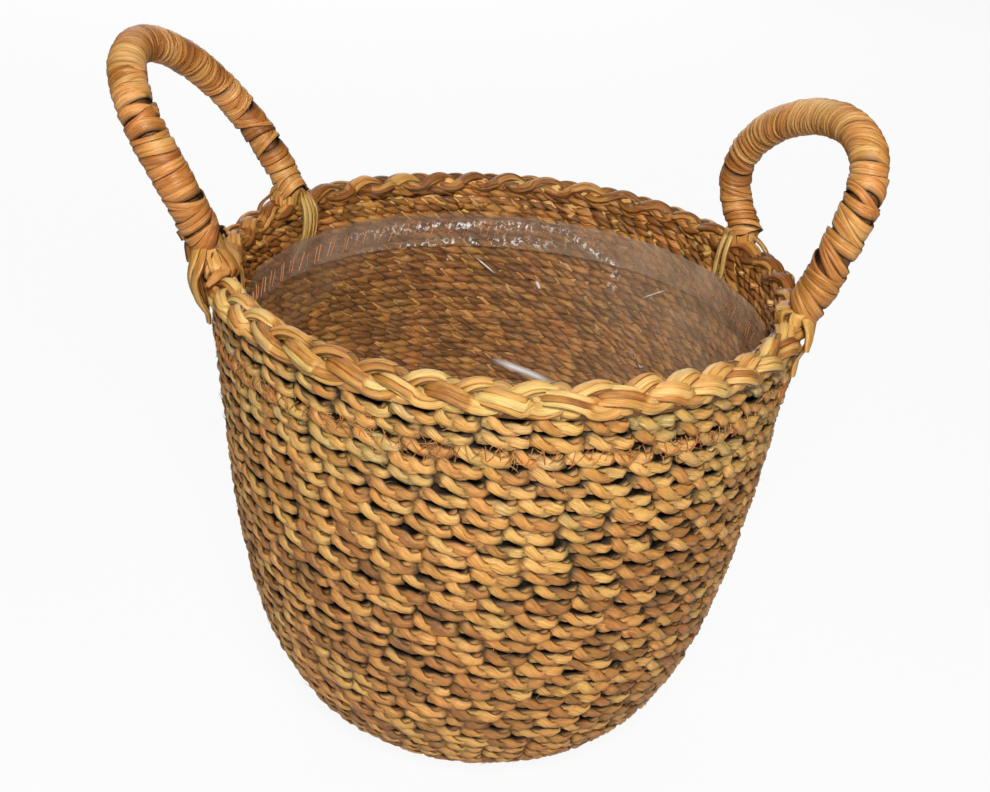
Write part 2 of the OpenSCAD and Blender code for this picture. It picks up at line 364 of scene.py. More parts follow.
PAINTED_SHADE_COLOUR = srgb(19, 10, 4)
STREAKS = (60, 9, 1)
FIBRES_ALONG = (70, 34, 1)
BLOTCHES = 95
HUES = 52
GREENER = (0.92, 0.92, 0.73, 1)
REDDER = (1.0, 0.89, 0.77, 1)
LEAF_GLOSS = (1, 0.86, 0.64, 1)


def leaf_material(name, stops, shine):
    """Dried leaf: a colour picked by tone, streaks and fibres along it, and painted shade at its edges.

    Painted shade darkens it, and it is less glossy, where its tuck value is high. shine is its
    least roughness.
    """
    material, tree = new_material(name)
    uv = node(tree, "UVMap", settings={"uv_map": "leaf"})
    tone = attribute(tree, "tone")
    # How much painted shade each point gets
    tuck = attribute(tree, "tuck")
    place = node(tree, "TexCoord", out=3)
    streak = node(tree, "Mapping", Vector=uv, Scale=STREAKS).noise(1.0, 3, 0.6)
    fibre = node(tree, "Mapping", Vector=uv, Scale=FIBRES_ALONG).noise(1.0, 2, 0.6)
    blotch = place.noise(BLOTCHES, 3, 0.6)
    across = node(tree, "SeparateXYZ", out=1, i0=uv)
    # Painted shade along each leaf's edges, in place of the shade where leaves meet
    edge = (TAU * across).math("SINE").math("ABSOLUTE")
    shade = tone + 0.6 * (streak - 0.5) + 0.5 * (blotch - 0.5)
    hue = place.noise(HUES, 1).range(0.38, 0.62).mix(GREENER, REDDER)
    # The leaf's own fibre lines, times the painted shade at its edges
    fibres_and_edge_shade = fibre.range(0.34, 0.62, 0.7, 1.14) * edge.range(0.04, 0.5).math("POWER", 0.6)
    colour = shade.ramp(stops).times(hue).times(fibres_and_edge_shade)
    relief = 0.55 * fibre + 0.8 * streak
    shader = node(
        tree,
        "BsdfPrincipled",
        Base_Color=tuck.mix(colour, PAINTED_SHADE_COLOUR),
        Roughness=streak.range(0.3, 0.7, shine, shine + 0.16) + 0.3 * tuck,
        Normal=node(tree, "Bump", Strength=0.7, Distance=1.1 * MM, Height=relief),
        Specular_IOR_Level=0.8,
        Specular_Tint=LEAF_GLOSS,
    )
    show(tree, shader)
    return material


# A paler tint that the film takes towards its right
RIGHT_SIDE_TINT = srgb(222, 194, 162)
CLEAR = (0.96, 0.95, 0.94, 1)
# Colour of the painted highlights on the film
GLINT = (0.96, 0.95, 0.93, 1)


def film_material(name, veil, side_veil, tint, glints):
    """Clear film: see-through, paler and more veiled towards its right, milky where it lies double at its
    left, white along wrinkles as painted highlights.

    glints lists painted highlights, white wrinkles at the back: middle x and z, tilt from level in degrees,
    half length, half width, and the scale of the noise that breaks it up or 0 for none.
    """
    material, tree = new_material(name)
    place = node(tree, "TexCoord", out=3)
    x, y, z = (node(tree, "SeparateXYZ", out=i, i0=place) for i in range(3))
    cloud = place.noise(44, 4, 0.65).range(0.36, 0.66, 0.68, 1.05)
    at_right = x.range(0.02, 0.12) * z.range(0.12, 0.2)
    slanted_edge = (0.66 * x - 0.75 * z + 0.2112).range(0.001, -0.001)
    double = slanted_edge * y.range(-0.06, 0.02) * z.range(0.16, 0.19)
    veil_amount = ((0.9 * at_right + 0.7 * double) * side_veil + veil) * cloud
    relief = place.noise(38, 4, 0.62)
    crinkle = node(tree, "Bump", Strength=0.8, Distance=5 * MM, Height=relief)
    # Paler towards the right
    colour = x.range(-0.02, 0.1).mix(tint, RIGHT_SIDE_TINT)
    film = node(tree, "BsdfPrincipled", Base_Color=colour, Roughness=0.2, Normal=crinkle)
    clear = node(tree, "BsdfTransparent", Color=CLEAR)
    shader = node(tree, "MixShader", i0=veil_amount, i1=clear, i2=film)
    # White mixed in along the wrinkles: painted highlights
    white = node(tree, "BsdfPrincipled", Base_Color=GLINT, Roughness=0.3)
    for middle_x, middle_z, tilt, half_length, half_width, grain in glints:
        c, s = cos_sin(tilt)
        right = x - middle_x
        up = z - middle_z
        along = (right * c + up * s).math("ABSOLUTE")
        across = (up * c - right * s).math("ABSOLUTE")
        lit = along.range(half_length, 0.4 * half_length) * across.range(half_width, 0) * y.range(0.04, 0.07)
        if grain:
            lit = lit * place.noise(grain, 2, 0.7).range(0.54, 0.6)
        shader = node(tree, "MixShader", i0=lit, i1=shader, i2=white)
    show(tree, shader)
    return material


def thread_material(name, low, high):
    """Sewing thread: from colour low to colour high by its tone."""
    material, tree = new_material(name)
    colour = attribute(tree, "tone").ramp([(0, *low), (1, *high)])
    show(tree, node(tree, "BsdfPrincipled", Base_Color=colour, Roughness=0.6))
    return material


def plain_material(name, colour, roughness):
    """One even colour."""
    material, tree = new_material(name)
    show(tree, node(tree, "BsdfPrincipled", Base_Color=colour, Roughness=roughness))
    return material


WALL_STOPS = [
    (0.0, 142, 91, 44),
    (0.25, 196, 134, 70),
    (0.5, 232, 170, 93),
    (0.72, 246, 196, 120),
    (0.86, 214, 172, 104),
    (1.0, 244, 216, 164),
]
RIM_STOPS = [
    (0.0, 154, 94, 42),
    (0.25, 206, 142, 72),
    (0.5, 234, 178, 102),
    (0.75, 250, 210, 140),
    (1.0, 212, 172, 106),
]
HANDLE_STOPS = [(0.0, 140, 78, 30), (0.3, 190, 120, 57), (0.6, 220, 152, 83), (1.0, 246, 194, 126)]
# Painted highlights: white streaks on the film's wrinkles at the back
GLINTS = [
    (0.0142, 0.1424, -15, 0.02, 0.0026, 0),
    (0.0592, 0.206, 78, 0.008, 0.0034, 420),
    (0.077, 0.166, -55, 0.007, 0.0022, 500),
    (0.082, 0.206, 40, 0.008, 0.0004, 0),
    (-0.0577, 0.2056, 90, 0.004, 0.0012, 300),
    (-0.037, 0.2045, 35, 0.005, 0.0014, 300),
    (-0.0134, 0.2032, -38, 0.008, 0.0006, 0),
    (0.0177, 0.1944, -60, 0.003, 0.0012, 0),
]
# Painted highlights along the hem
HEM_GLINTS = [
    (-0.026, 0.2265, 2, 0.075, 0.0034, 430),
    (-0.03, 0.216, 4, 0.07, 0.0045, 330),
    (0.06, 0.214, -25, 0.05, 0.003, 520),
]
wall_leaf = leaf_material("wall_leaf", WALL_STOPS, shine=0.32)
rim_leaf = leaf_material("rim_leaf", RIM_STOPS, shine=0.38)
handle_leaf = leaf_material("handle_leaf", HANDLE_STOPS, shine=0.38)
# Dark brown for the stakes and hub, made dark to keep the wall's gaps dark: partly painted shade
stem_brown_and_shade = plain_material("stem_brown_and_painted_shade", srgb(62, 38, 18), roughness=0.8)
film_clear = film_material("film_clear", veil=0.13, side_veil=0.34, tint=srgb(160, 128, 98), glints=GLINTS)
film_hem = film_material("film_hem", veil=0.27, side_veil=0.12, tint=srgb(192, 164, 140), glints=HEM_GLINTS)
thread = thread_material("rust_thread", (174, 98, 42), (226, 154, 104))

# Twined wall

WALL_SEED = 11
LOBE_LENGTH = 22.6 * MM
LEAST_LOBES = 8
LOBE_BLOCK = 7
COURSE_STEPS = 12
BASE_STEPS = 10
BASE_ROW = 100
RIM_ROW = 0.6
STRAND_SWING = 4.0 * MM
STRAND_HALF_T = 2.2 * MM
STRAND_HALF_W = 4.05 * MM
LOBE_SAG = 2.8 * MM
SAG_LEAD = 1.2
OUT_SOONER = 0.28
OUT_SKEW = 0.08
NECK = 0.4
NECK_AT = 0.5
NECK_SPAN = 0.35
PLY_TURN = 2
PLIES = ((0.38, 0), (-0.38, 0))
PLY_SIZES = (0.8, 0.8)
PLY_LEAN = 0.4
# Painted shade: a dark sheet along the wall's middle, and the strands darkened near the middle, fully within
# CORE_DARK and not at all past CORE_CLEAR, more weakly under the rim
SHADE_SHEET_HALF_W = 0.56
SHADE_SHEET_HALF_T = 0.8 * MM
CORE_DARK = 3.9 * MM
CORE_CLEAR = 6.3 * MM
UNDER_RIM_DARK = 0.4
INNER_SWING = 0.45
INNER_CLEAR = 2
WALL_TONE = 0.38
# Painted light: the upper courses are made paler
PAINTED_TOP_LIGHT = 0.25
TONE_SPREAD = 0.29
# Courses wander up and down, and their lobes along the row
ROW_SWAY = ((0.5 * MM, 3, 0.31, 0), (0.35 * MM, 8, -0.53, 1))
ROW_DRIFT = ((0.35, 2, 1.7, 0), (0.25, 5, -2.3, 0))


def lobe_values(rng, phase, count, low, high):
    """A random value for each outer and inner lobe of a strand, passing smoothly on. The last is spare."""
    outer = rng.uniform(low, high, count + 1)
    inner = rng.uniform(low, high, count + 1)
    turn = phase / TAU
    out_i = np.floor(turn + 0.25).astype(int) % count
    in_i = np.floor(turn - 0.25).astype(int) % count
    w = smooth(np.cos(phase), -0.15, 0.15)
    return inner[in_i] * (1 - w) + outer[out_i] * w


def twined_row(s_c, lobes, pitch, row, steps_per_lobe):
    """Two strands twined round the stakes at length s_c along the wall, as leaf parts, and a dark sheet.

    A strand runs round the ring at angle theta with phase lobes / 2 * theta. It lies outside the wall's
    middle while cos(phase) is above 0 and inside it otherwise, coming out a little sooner than it goes in.
    Along the wall it follows -sin(phase + SAG_LEAD): each lobe starts high on its left, swoops down and rises
    a little at its right. The inner lobes stay short of lining(). Points near the wall's middle get painted
    shade, and the dark sheet along the wall's middle is painted shade too. The row under the rim has no such
    sheet and weaker painted shade. What would reach under the floor is pressed flat on it.
    """
    rng = np.random.default_rng([WALL_SEED, row])
    r_c, z_c, dr, dz = wall_at(s_c, WALL_T / 2)
    steps = lobes * steps_per_lobe
    half = lobes // 2
    theta = TAU * np.arange(steps) / steps - TAU / 4
    radial = around(theta, 1, 0)
    out = dz * radial - dr * UP
    along = dr * radial + dz * UP
    centre = around(theta, r_c, z_c + back_rise(theta, s_c))
    sway = waves(theta, row, ROW_SWAY)
    drift = rng.uniform(-1.5, 1.5) + waves(theta, row, ROW_DRIFT)
    size = pitch / COURSE_PITCH
    # The wall's tone, with painted light on the upper courses
    tone_with_painted_light = WALL_TONE + PAINTED_TOP_LIGHT * smooth(s_c, 0.65 * WALL_LEN, 0.95 * WALL_LEN)
    under_rim = s_c > WALL_LEN
    # Painted shade is weaker under the rim
    painted_shade_strength = UNDER_RIM_DARK if under_rim else 1
    parts = []
    # A dark sheet of painted shade along the wall's middle, seen through the gaps between strands
    if not under_rim:
        some = slice(None, None, steps_per_lobe // 2)
        parts.append(laid(centre[some], out[some], SHADE_SHEET_HALF_W * pitch, SHADE_SHEET_HALF_T, True, sides=4, tuck=1.0))
    for strand in range(2):
        phase = half * (theta + TAU / 4) + math.pi * strand + drift
        phase = phase + lobe_values(rng, phase, half, -0.22, 0.22)
        varied = partial(lobe_values, rng, phase, half)
        front = 2 * smooth(np.cos(phase) + OUT_SOONER - OUT_SKEW * np.sin(phase), -0.4, 0.6) - 1
        bulge = 1 + varied(-0.1, 0.12)
        width = 1 + varied(-0.16, 0.14)
        shift = varied(-0.5, 0.5) * MM
        droop = 1 + varied(-0.25, 0.25)
        turn = -PLY_TURN * phase + varied(-0.7, 0.7)
        sag = -LOBE_SAG * size * droop * np.sin(phase + SAG_LEAD) + shift + sway
        swing = STRAND_SWING * bulge * np.where(front > 0, 1, INNER_SWING) * front
        path = centre + out * swing[:, None] + along * sag[:, None]
        narrow = 1 - NECK * np.exp(-(((front - NECK_AT) / NECK_SPAN) ** 2))
        half_w = STRAND_HALF_W * size * width * narrow
        tones = [tone_with_painted_light + varied(-TONE_SPREAD, TONE_SPREAD) for _ in PLIES]
        plies = bundle(path, out, half_w, STRAND_HALF_T, PLIES, turn, rng, tones, *PLY_SIZES, PLY_LEAN)
        for leaf in plies:
            offset = leaf["verts"].reshape(steps, -1, 3) - centre[:, None]
            from_middle = np.sum(offset * out[:, None], axis=-1)
            from_middle = np.where(from_middle > 0, from_middle, -INNER_CLEAR * from_middle)
            # Painted shade, darkest near the wall's middle
            leaf["tuck"] = painted_shade_strength * (1 - smooth(from_middle, CORE_DARK, CORE_CLEAR).ravel())
            leaf["verts"][:, 2] = np.maximum(leaf["verts"][:, 2], 0)
        parts += plies
    return parts + lining(s_c, pitch, row)


LINING_SEED = 13
ROPE_DEPTH = 9.4 * MM
ROPE_H = 2.9 * MM
ROPE_SIDES = (-0.25, 0.25)
ROPE_HALF_W = 0.285
ROPE_POINTS = 7
ROPE_WAVE = 0.055
ROPE_WANDER = 0.04
SPINDLE = 8.6 * MM
SPINDLE_STEPS = 6
SPINDLE_SLANT = 0.36
SPINDLE_SHIFT = ((0.4, 7, 1, 0), (0.3, 17, 2, 0))
LEAST_SPINDLES = 6
# Painted shade in the creases of the lining
CREASE_DARK = 0.85


def lining(s_c, pitch, row):
    """The inner face of a row: two fine ropes side by side, each a sheet that swells into spindles.

    Across a rope w runs from -1 to 1, and along it a spindle's part f runs from 0 to 1, shifted with w so
    that the spindles slant. The sheet stands out of the creases by ROPE_H * sqrt((1 - w^2) * sin(pi * f)),
    and the rope's middle line waves once per spindle.
    """
    rng = np.random.default_rng([LINING_SEED, row])
    w = np.linspace(-1, 1, ROPE_POINTS)[:, None]
    parts = []
    for side in ROPE_SIDES:
        r_c = float(wall_at(s_c + side * pitch, ROPE_DEPTH)[0])
        count = max(LEAST_SPINDLES, round(TAU * r_c / SPINDLE))
        j = np.arange(count * SPINDLE_STEPS)[None]
        even = TAU * j / (count * SPINDLE_STEPS)
        start = rng.uniform(0, TAU)
        uneven = waves(even, start, SPINDLE_SHIFT) + rng.uniform()
        theta = even + TAU * (uneven + SPINDLE_SLANT * w) / count
        h = np.sqrt(1 - w**2) * np.sqrt(np.sin(np.pi * (j % SPINDLE_STEPS) / SPINDLE_STEPS))
        h = h * rng.uniform(0.7, 1.1, count)[j // SPINDLE_STEPS]
        wave = ROPE_WAVE * np.sin(TAU * (j / SPINDLE_STEPS + uneven))
        wave = wave + ROPE_WANDER * np.sin(9 * theta + start)
        s = s_c + (side + ROPE_HALF_W * w - wave) * pitch
        r, z, _, _ = wall_at(s, ROPE_DEPTH + ROPE_H * h)
        verts = around(theta, np.maximum(r, LEAST_R), z + back_rise(theta, s))
        tone = rng.uniform(-0.08, 0.36, count)[j // SPINDLE_STEPS]
        # Painted shade where the sheet sinks into its creases
        tuck = CREASE_DARK - CREASE_DARK * smooth(h, 0, 0.5)
        parts.append(grid_part(verts, FACING_IN, theta * r_c, row + 0.25 + 0.17 * w, tone, tuck))
    return parts


def lobe_count(r):
    """An even number of lobes of about the usual length round radius r."""
    return max(LEAST_LOBES, 2 * round(TAU * r / LOBE_LENGTH / 2))


# The courses of a block have as many lobes as its middle has room for
lobes = 0
for course in range(1, COURSES + 1):
    if course % LOBE_BLOCK == 1:
        lobes = lobe_count(wall_at((course - 1 + LOBE_BLOCK / 2) * COURSE_PITCH, 0)[0])
    strands = twined_row((course - 0.5) * COURSE_PITCH, lobes, COURSE_PITCH, course, COURSE_STEPS)
    if course == COURSES:
        s_rim = WALL_LEN + RIM_ROW * COURSE_PITCH
        strands += twined_row(s_rim, lobes, COURSE_PITCH, COURSES + 1, COURSE_STEPS)
    piece = make_piece(f"twine_{course:02d}", strands, wall_leaf)
    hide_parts(f"course_{course:02d}")

base_parts = []
for i in range(1, BASE_ROUNDS + 1):
    round_r = (i - 0.5) * BASE_PITCH
    base_parts += twined_row(round_r - BASE_R, lobe_count(round_r), BASE_PITCH, BASE_ROW + i, BASE_STEPS)
base = make_piece("twine_base", base_parts, wall_leaf)
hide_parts("base_rounds")

# Plaited rim

PLAIT_SEED = 23
PLAIT_PERIODS = 13
PLAIT_STEPS = 48
PLAIT_SWING = 4.5 * MM
PLAIT_LIFT = 3.0 * MM
PLAIT_TILT = 26
PLAIT_HALF_W = 4.2 * MM
PLAIT_HALF_T = 3.2 * MM
PLAIT_LEAVES = ((-0.62, 0.16), (-0.04, 0.52), (0.6, 0.2), (0.34, -0.42), (-0.36, -0.42))
PLAIT_SIZES = (0.44, 0.5)
PLAIT_LEAN = 0.5
# Painted shade is full within PLAIT_DARK of the plait's middle and gone past PLAIT_CLEAR
PLAIT_DARK = 1.5 * MM
PLAIT_CLEAR = 5 * MM
PLAIT_SHIFT = ((0.25, 3, 0, 2), (0.2, 7, 0, 0))
PLAIT_WANDER = ((0.6 * MM, 5, 0, 1),)
BACKING_DROP = 5.5 * MM
BACKING_HALF_W = 4 * MM
BACKING_HALF_T = 3.2 * MM
BACKING_STEP = 8


def plait():
    """Three strands plaited along the rim: each swings across it with sin(p) and over and under with sin(2p).

    Points near the plait's middle get painted shade, and the strands' tone has painted light at the
    front and painted shade towards the back. A plain ring under it, darkened with painted shade, closes
    the gap to the wall.
    """
    rng = np.random.default_rng(PLAIT_SEED)
    steps = PLAIT_PERIODS * PLAIT_STEPS
    theta = TAU * np.arange(steps) / steps
    radial = around(theta, 1, 0)
    c, s = cos_sin(PLAIT_TILT)
    across = c * radial - s * UP
    face = s * radial + c * UP
    middle = around(theta, RIM_R, RIM_Z + back_rise(theta, WALL_LEN))
    low = middle[::BACKING_STEP] - BACKING_DROP * UP
    # The ring under the plait is darkened with painted shade
    parts = [laid(low, radial[::BACKING_STEP], BACKING_HALF_W, BACKING_HALF_T, True, tone=0.1, tuck=0.5)]
    # Painted light and shade: the strands are paler at the front and darker towards the back
    tone_with_painted_light = 0.49 - 0.41 * smooth(np.sin(theta), -0.85, 0.4)
    for strand in range(3):
        p = PLAIT_PERIODS * theta + TAU * strand / 3 + waves(theta, 0, PLAIT_SHIFT)
        varied = partial(lobe_values, rng, p, PLAIT_PERIODS)
        swing = PLAIT_SWING * (1 + varied(-0.18, 0.18))
        lift = PLAIT_LIFT * (1 + varied(-0.15, 0.15))
        path = middle + across * (swing * np.sin(p))[:, None] + face * (lift * np.sin(2 * p))[:, None]
        path = path + UP * waves(theta, 0, PLAIT_WANDER)[:, None]
        half_w = PLAIT_HALF_W * (1 + varied(-0.18, 0.15))
        turn = 0.5 * np.sin(p) + varied(-0.8, 0.8)
        tones = [tone_with_painted_light + varied(-0.4, 0.4) for _ in PLAIT_LEAVES]
        outward = face + across * (0.7 * np.sin(p))[:, None]
        sizes = *PLAIT_SIZES, PLAIT_LEAN
        for leaf in bundle(path, outward, half_w, PLAIT_HALF_T, PLAIT_LEAVES, turn, rng, tones, *sizes):
            offset = leaf["verts"].reshape(steps, -1, 3) - middle[:, None]
            # Painted shade near the plait's middle
            leaf["tuck"] = 1 - smooth(np.linalg.norm(offset, axis=-1), PLAIT_DARK, PLAIT_CLEAR).ravel()
            parts.append(leaf)
    return parts


rim = make_piece("rim_plait", plait(), rim_leaf)
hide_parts("rim_strand_outer", "rim_strand_inner", "rim_strand_top")

# Handles

FRONT_R = 9.5 * MM
BACK_R = 8.0 * MM
FRONT_FOOT_Z = 262.283 * MM
BACK_FOOT_Z = 260.783 * MM
FRONT_ANGLE = -15
BACK_ANGLE = 31
FOOT_FADE = 24 * MM


class Line:
    """A curve with its points and the directions square to it at any length along it."""

    def __init__(self, points):
        self.points = points
        self.s = arc_lengths(points)
        self.length = self.s[-1]
        self.dirs = unit(np.gradient(points, self.s, axis=0))
        flat = np.cross(points[-1] - points[0], points[len(points) // 2] - points[0])
        self.a = unit(flat - np.sum(flat * self.dirs, axis=-1, keepdims=True) * self.dirs)
        self.b = np.cross(self.dirs, self.a)

    def look(self, table, s):
        """Rows of a table kept per point, at lengths s."""
        return np.stack([np.interp(s, self.s, table[:, i]) for i in range(3)], axis=-1)

    def point(self, s):
        """Points at lengths s. Past its ends the curve goes straight on."""
        before = np.minimum(s, 0)[..., None] * self.dirs[0]
        after = np.maximum(s - self.length, 0)[..., None] * self.dirs[-1]
        return self.look(self.points, s) + before + after

    def ring(self, s, angle):
        """Directions away from the curve at lengths s, each at an angle about it."""
        c, s_angle = np.cos(angle)[..., None], np.sin(angle)[..., None]
        return c * self.look(self.a, s) + s_angle * self.look(self.b, s)


def rim_axes(side, angle):
    """Directions out of the rim and along it to the back, on the right or, for side -1, on the left."""
    c, s = cos_sin(angle)
    return np.array([side * c, s, 0]), np.array([-side * s, c, 0])


def handle_line(side, spread, front_reach, back_reach, front_lean, back_lean, foot_shift):
    """A handle's curve, from its front foot to its back foot, as in the part's source.

    Its front foot is moved by foot_shift, which fades along the curve as exp(-(length / FOOT_FADE)^2).
    """
    a = RIM_R * rim_axes(side, FRONT_ANGLE)[0] + FRONT_FOOT_Z * UP
    b = RIM_R * rim_axes(side, BACK_ANGLE)[0] + BACK_FOOT_Z * UP
    along = unit(b - a)
    out = side * unit(np.array([along[1], -along[0], 0]))
    middle = (a + b) / 2

    def leaning(lean):
        c, s = cos_sin(lean)
        return c * UP + s * out

    front_pull = middle - spread * along + front_reach * leaning(front_lean)
    back_pull = middle + spread * along + back_reach * leaning(back_lean)
    points = bezier(np.array([a, front_pull, back_pull, b]), np.linspace(0, 1, 201))
    near = np.exp(-((arc_lengths(points) / FOOT_FADE) ** 2))
    return Line(points + near[:, None] * np.array(foot_shift) * MM)


left_line = handle_line(-1, 81 * MM, 157 * MM, 97 * MM, 36, 36, (-7, 6, 0))
right_line = handle_line(1, 100 * MM, 148 * MM, 65 * MM, 27, -25, (4, -1, -4))

# The binding's section, from one edge of the strip to the other and back below it
BAND_X = np.array([-1, -0.84, -0.5, -0.2, 0.02, 0.14, 0.26, 0.5, 0.84, 1, 0.5, -0.5])
BAND_Y = np.array([0.1, 0.7, 0.92, 0.96, 0.9, 0.72, 0.9, 1.0, 0.96, 0.3, -0.4, -0.4])
# Painted shade across the section: dark at the strip's edges and where the next turn lies under the lap
BAND_PAINTED_SHADE = np.array([1, 0.75, 0.3, 0.05, 0, 0.3, 0, 0, 0.1, 0.9, 1, 1])
BAND_CREASE = 0.14
BAND_TURNS = 60
BAND_STEPS = 22
BAND_HALF_W = 0.8
BAND_LAP = 0.5 * MM
BAND_T = 0.9 * MM
BAND_START = -4 * MM
BAND_END = 9 * MM
BAND_EASE = 0.22
BAND_TONE = 0.5
STEM_GAP = 2.2 * MM


def binding(line, hand, seed, slants, painted_shading):
    """A flat strip wound along a handle, each turn lapping over the next, with one soft crease in its width.

    The turns are widest at the feet: the pitch after part x of the turns is 1 + BAND_EASE * cos(TAU * x) of
    the mean. Each of slants is a part of the handle's length, a spread, a way and an amount: near there the
    strip is shifted along the handle by the amount on the side that faces the way, which slants the turns.
    Across the strip the radius rises to the lapping edge, and painted shade darkens its edges and where it
    laps. Every turn has its own width, slant and tone, with painted light and painted shade on the halves
    either side of the crease, and painted_shading(part of the length), painted shade where above 0 and
    painted light where below, is taken off the tone.
    """
    rng = np.random.default_rng(seed)
    turn = np.arange(BAND_TURNS * BAND_STEPS + 1) / BAND_STEPS
    w = TAU * turn
    knots = np.arange(BAND_TURNS + 2)

    def per_turn(low, high):
        return np.interp(turn, knots, rng.uniform(low, high, BAND_TURNS + 2))

    reach = line.length + BAND_END - BAND_START
    x = turn / BAND_TURNS
    pitch = reach / BAND_TURNS * (1 + BAND_EASE * np.cos(TAU * x))
    middle = BAND_START + reach * (x + BAND_EASE * np.sin(TAU * x) / TAU) + per_turn(-0.2, 0.2) * pitch
    part = middle / line.length
    half = pitch * (BAND_HALF_W + per_turn(-0.3, 0.3))
    radius = FRONT_R + (BACK_R - FRONT_R) * part - BAND_T + per_turn(-0.4, 0.25) * MM
    slant = per_turn(-0.85, 0.85) * pitch * np.cos(w) + per_turn(-0.85, 0.85) * pitch * np.sin(w)
    for at, spread, way, amount in slants:
        near = np.exp(-(((part - at) / spread) ** 2))
        slant = slant + amount * near * (line.ring(middle, hand * w) @ np.array(way))
    s = middle[:, None] + half[:, None] * BAND_X + slant[:, None]
    s = np.clip(s, BAND_START, line.length + BAND_END)
    r = radius[:, None] + BAND_Y * BAND_T + BAND_LAP * BAND_X
    verts = line.point(s) + line.ring(s, hand * np.broadcast_to(w[:, None], s.shape)) * r[..., None]
    corners = [0, 3, 2, 1] if hand > 0 else [1, 2, 3, 0]
    tone = (BAND_TONE - painted_shading(part) + per_turn(-0.36, 0.36))[:, None]
    # Painted light and painted shade: the halves on either side of the crease are made lighter and darker
    tone = tone + np.where(BAND_X < BAND_CREASE, 0.12, -0.12) * per_turn(-1, 1)[:, None]
    return grid_part(verts, corners, FRONT_R * w[:, None], 0.08 + 0.17 * (BAND_X + 1), tone, BAND_PAINTED_SHADE)


LEFT_SLANTS = [(0.85, 0.2, (0.9, 0, 0.43), 2 * MM)]
RIGHT_SLANTS = [
    (0.12, 0.16, (0.9, 0, -0.43), -2.6 * MM),
    (0.6, 0.14, (0, 0, 1), -4 * MM),
    (0.9, 0.12, (1, 0, 0), 2.4 * MM),
]
# Painted shade darkens the left handle at its back foot; painted light makes the right one palest at its top
for side, line, hand, seed, slants, painted_shading in (
    ("left", left_line, 1, 41, LEFT_SLANTS, lambda x: 0.1 * smooth(x, 0.6, 0.9) - 0.06),
    ("right", right_line, -1, 42, RIGHT_SLANTS, lambda x: -0.04 - 0.28 * np.exp(-(((x - 0.58) / 0.2) ** 2))),
):
    strip = binding(line, hand, seed, slants, painted_shading)
    stem_r = np.linspace(FRONT_R, BACK_R, len(line.points)) - STEM_GAP
    # The stem under the strip is darkened with painted shade
    stem = sweep(line.points, line.a, line.b, stem_r, stem_r, 10, tone=0.1, tuck=0.5)
    bound = make_piece(f"binding_{side}", [strip, stem], handle_leaf, None)
    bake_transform(bound)
    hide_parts(f"handle_wrap_{side}", f"handle_core_{side}")

# Ties: leaves that leave a handle's foot and straddle the rim

# Each long leaf: the side of the foot it leaves by (0 out, 90 back, 180 in, 270 front), points as
# (out, back, up) in mm from the rim's middle, half width in mm and tone
TIES = {
    "left_front": [
        (0, [(8.5, 0, 10), (9.5, 0, 2), (7.5, 0, -6), (4, 0, -12)], 8, 0.1),
        (185, [(-8.5, 2, 9), (-10.6, 3, 1), (-11, 4, -8), (-10.4, 5, -15)], 3.2, 0.6),
        (150, [(-8, 7, 8.5), (-10.6, 9, 0), (-11, 10, -9), (-10.2, 11, -15)], 2.7, 0.75),
        (15, [(12, 4, 11), (13.4, 5, 3), (11, 6, -6), (6.2, 6, -13), (5, 6, -19)], 3.4, 0.4),
        (340, [(12.5, -4, 11), (14, -5, 3), (11.5, -6, -6), (6.4, -6, -13), (5, -6, -20)], 3.4, 0.5),
        (310, [(10, -9, 10.5), (12.4, -11, 3), (10.6, -13, -5), (6.2, -14, -12)], 3.2, 0.35),
        (45, [(10, 9, 10.5), (12, 11, 3), (10.4, 12, -5), (6.2, 13, -12)], 3.2, 0.55),
        (255, [(-2, -10, 9), (2, -15, 8), (7, -19, 4)], 2.8, 0.45),
    ],
    "left_back": [
        (180, [(-7.5, 3, 9), (-10.6, 3, 1), (-11.4, 2, -9), (-11, -1, -18), (-10.5, -5, -23)], 2.2, 0.7),
        (155, [(-7.5, 5.5, 9), (-11, 6, 1), (-12, 5, -9), (-11.4, 2, -19)], 2.2, 0.6),
        (135, [(-7, 8, 8.5), (-10.8, 9, 1), (-11.8, 8.5, -9), (-11.2, 6, -20)], 2.1, 0.45),
        (115, [(-6, 10, 8), (-10.4, 12, 1), (-11, 12, -8), (-10.6, 10, -17)], 1.9, 0.65),
        (310, [(6, -6, 8.5), (9.4, -10, 3), (9, -12, -4), (5.6, -13, -10)], 2.8, 0.3),
    ],
    "right_back": [
        (295, [(4, -6, 9.5), (5, -10, 7.5), (5.8, -15, 4.5), (5.5, -20, 0)], 2.6, 0.8),
        (180, [(-7.5, -2, 8.5), (-10.6, -3, 0), (-11, -3, -9), (-10.6, -2, -15)], 1.6, 0.6),
        (160, [(-7.5, 2, 8.5), (-10.6, 2, 0), (-11, 3, -10), (-10.6, 4, -16)], 1.6, 0.75),
        (20, [(8, 3, 9), (10, 4, 1), (8, 5, -7), (5.6, 5, -12)], 2.6, 0.35),
    ],
    "right_front": [
        (140, [(-4.5, 7, 9), (-6.5, 13, 8), (-8.5, 20, 5)], 2.6, 0.7),
        (170, [(-7.5, 2, 9), (-9.5, 8, 6), (-10.8, 14, 0)], 2.4, 0.5),
        (345, [(8.6, -3, 9), (9.2, -4, 2), (7.6, -6, -5.5), (4.6, -8, -12), (4.2, -9, -20)], 3.2, 0.6),
        (25, [(9, 4, 9), (9.4, 3, 2), (7.6, 1, -6), (4.8, -1, -13)], 2.8, 0.45),
        (300, [(6, -8, 9), (9, -13, 4), (9, -15, -4)], 2.8, 0.4),
    ],
}
TIE_SEED = 57
SKIRT = 9
SKIRT_HALF_W = 3.4
PLUG_POINTS = 8
PLUG_SIZE = 0.72
PLUG_TOP = 12 * MM
PLUG_LOW = 5 * MM
TIE_POINTS = 26
